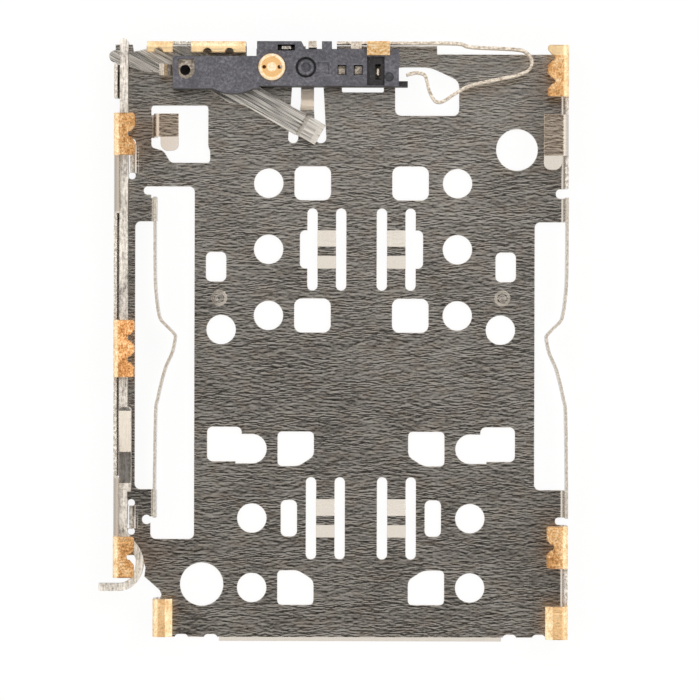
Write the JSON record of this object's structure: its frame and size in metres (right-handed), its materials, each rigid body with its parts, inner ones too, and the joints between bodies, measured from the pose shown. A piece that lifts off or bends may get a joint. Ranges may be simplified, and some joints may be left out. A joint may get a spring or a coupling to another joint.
{
  "type": "sim card reader",
  "caption": "Push-eject SIM card reader: folded steel shell with side springs and solder feet, eject rod and lever, moulded rear housing with detect switch.",
  "frame": {"origin": "outer face of the plate, on the tray's centre line, halfway between the front edge and the rear fold", "axes": "+X across the tray, away from the eject rod; +Y from the tray mouth to the rear; +Z from the plate to the solder feet"},
  "size_m": [0.0171, 0.022, 0.0014],
  "materials": {
    "stainless_steel": "brushed, solder feet gold plated",
    "black_polymer": "moulded, matt, fine speckle",
    "rod_steel": "stamped, satin",
    "lever_steel": "stamped, brushed lengthwise",
    "rivet_brass": "turned",
    "contact_alloy": "rolled, bright, gold plated at the feet"
  },
  "bodies": {
    "root": {"shell": "stainless_steel", "housing": "black_polymer", "housing_rivet": "rivet_brass", "housing_clip": "contact_alloy", "detect_leaf": "contact_alloy", "switch_contact": "contact_alloy"},
    "rod": {"eject_rod": "rod_steel"},
    "lever": {"eject_lever": "lever_steel"}
  },
  "joints": [
    {"name": "rod_slide", "type": "slide", "parent": "root", "child": "rod", "axis": [0, 1, 0], "range_m": [0, 0.001]},
    {"name": "lever_pivot", "type": "hinge", "parent": "root", "child": "lever", "pos_m": [-0.00642, 0.00986, 0.0003], "axis": [0, 0, 1], "range_deg": [-26, 0]}
  ],
  "couplings": [
    {"joint": "lever_pivot", "follows": "rod_slide", "rad_per_m": -450.45}
  ]
}
